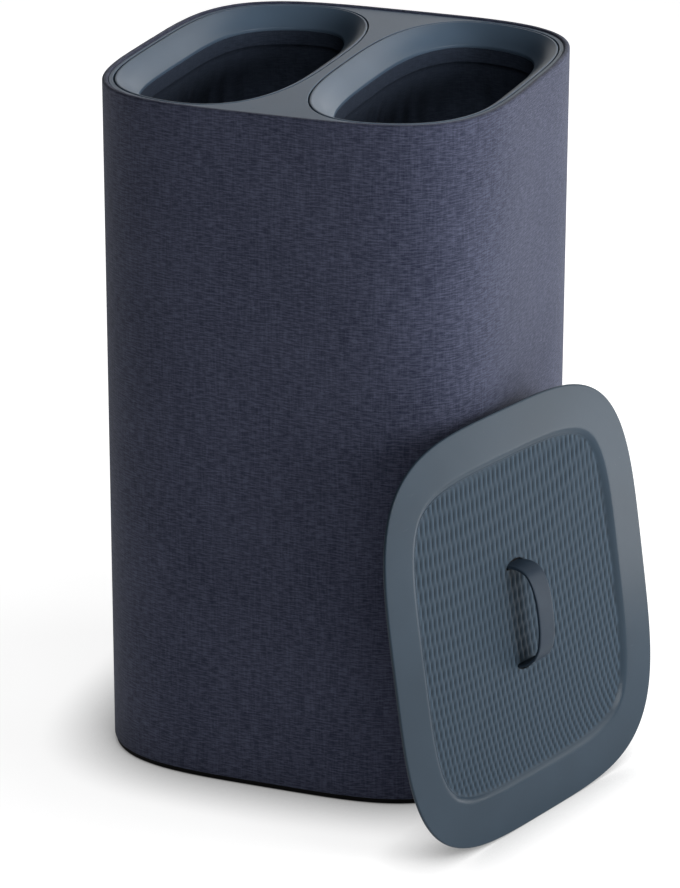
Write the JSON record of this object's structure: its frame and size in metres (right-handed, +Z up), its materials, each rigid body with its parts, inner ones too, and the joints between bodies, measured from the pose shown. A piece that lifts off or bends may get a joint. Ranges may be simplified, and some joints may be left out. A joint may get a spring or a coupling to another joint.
{
  "type": "laundry hamper with two bins",
  "caption": "Tall bowed-square laundry hamper in fabric, with two lift-out bins side by side under a slate deck and a dished lid with a strap handle leaning on its side.",
  "frame": {"origin": "middle of the centre foot pad's underside, on the floor, at the middle of the hamper's footprint", "axes": "+Z up, -Y the front, +X from the left bin to the right bin; the loose lid leans on the side at +X"},
  "size_m": [0.4648, 0.4806, 0.61],
  "materials": {
    "fabric": "dark blue linen-like weave with lighter slubs, matt",
    "slate_plastic": "slate grey moulded plastic, fine satin",
    "ring_plastic": "slate grey moulded plastic, fine satin",
    "strap_rubber": "slate grey flexible band, satin",
    "black_plastic": "black moulded plastic, matt",
    "rubber": "black rubber, matt",
    "bag_cloth": "near-black woven liner, matt",
    "board": "pressed fibre board, matt"
  },
  "bodies": {
    "hamper": {"base_tray": "black_plastic", "foot_pad_centre": "rubber", "foot_pad_front_left": "rubber", "foot_pad_back_left": "rubber", "foot_pad_front_right": "rubber", "foot_pad_back_right": "rubber", "wall_board": "board", "wall_seam_strip": "board", "fabric_cover": "fabric", "top_frame": "slate_plastic"},
    "left_bin": {"left_bin_ring": "ring_plastic", "left_bag": "bag_cloth", "left_bag_shoulder": "bag_cloth", "left_bag_hoop": "black_plastic", "left_bag_board": "bag_cloth"},
    "right_bin": {"right_bin_ring": "ring_plastic", "right_bag": "bag_cloth", "right_bag_shoulder": "bag_cloth", "right_bag_hoop": "black_plastic", "right_bag_board": "bag_cloth"},
    "lid": {"lid_panel": "slate_plastic", "lid_strap": "strap_rubber", "lid_strap_clip_low": "black_plastic", "lid_strap_clip_high": "black_plastic"}
  },
  "joints": [
    {"name": "left_bin_lift", "type": "slide", "parent": "hamper", "child": "left_bin", "axis": [0, 0, 1], "range_m": [0, 0.61]},
    {"name": "right_bin_lift", "type": "slide", "parent": "hamper", "child": "right_bin", "axis": [0, 0, 1], "range_m": [0, 0.61]},
    {"name": "lid_lift", "type": "slide", "parent": "hamper", "child": "lid", "axis": [0, 0, 1], "range_m": [0, 0.62]}
  ]
}
